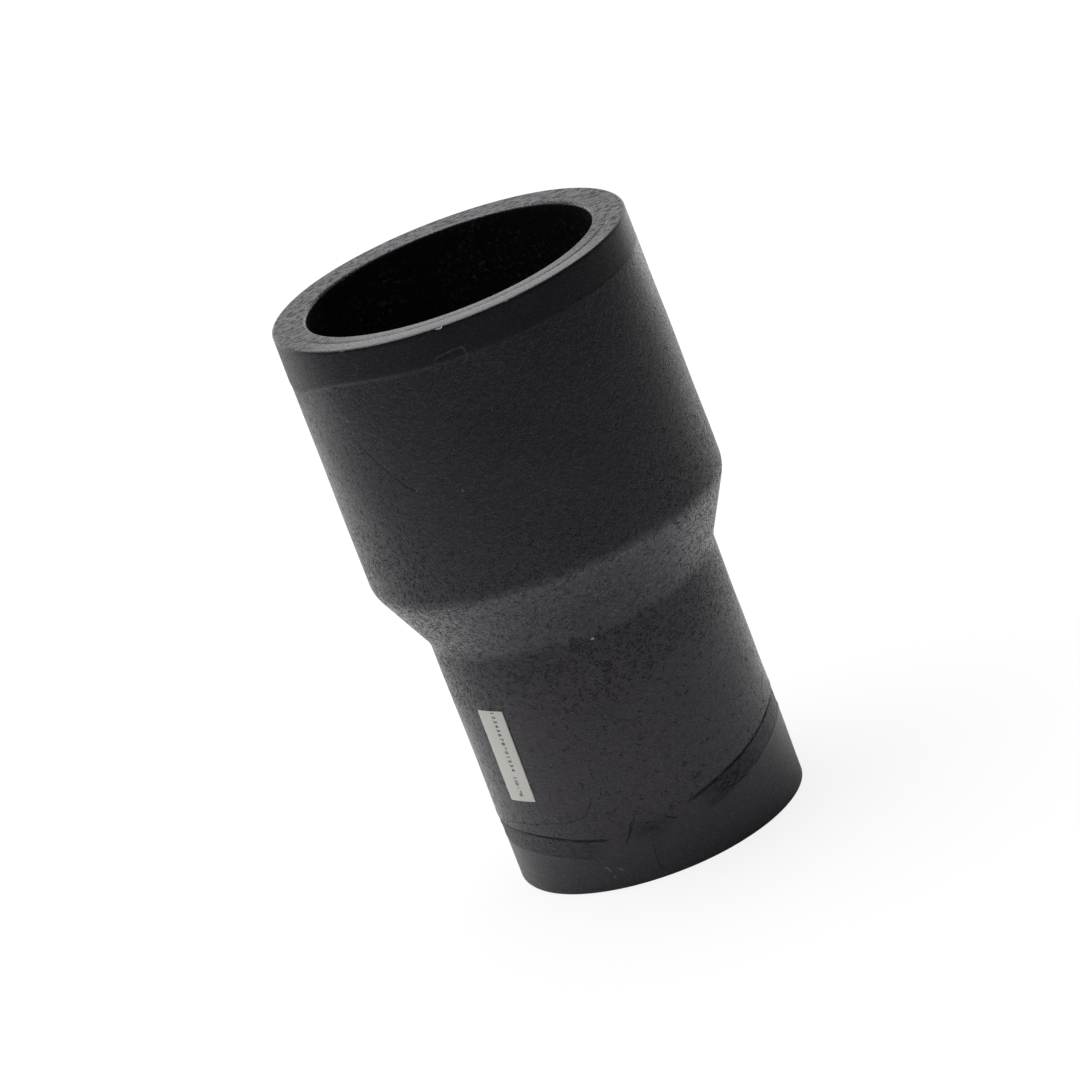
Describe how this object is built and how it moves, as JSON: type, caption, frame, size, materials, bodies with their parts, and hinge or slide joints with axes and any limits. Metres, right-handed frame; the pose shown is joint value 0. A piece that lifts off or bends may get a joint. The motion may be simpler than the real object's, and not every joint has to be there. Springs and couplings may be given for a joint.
{
  "type": "eccentric pipe reducer",
  "caption": "Eccentric black polyethylene pipe reducer with long plain spigots, in line along one side, and a small pale label.",
  "frame": {"origin": "on the large spigot's axis, in the plane of the small end's face", "axes": "+Z along the pipe axes towards the large end; +Y towards the side where both spigots are in line"},
  "size_m": [0.1112, 0.111, 0.1889],
  "materials": {
    "black_polyethylene": "moulded satin, turned at the ends",
    "label_film": "matt pale grey film"
  },
  "bodies": {
    "root": {"reducer_body": "black_polyethylene", "identification_label": "label_film"}
  },
  "joints": []
}
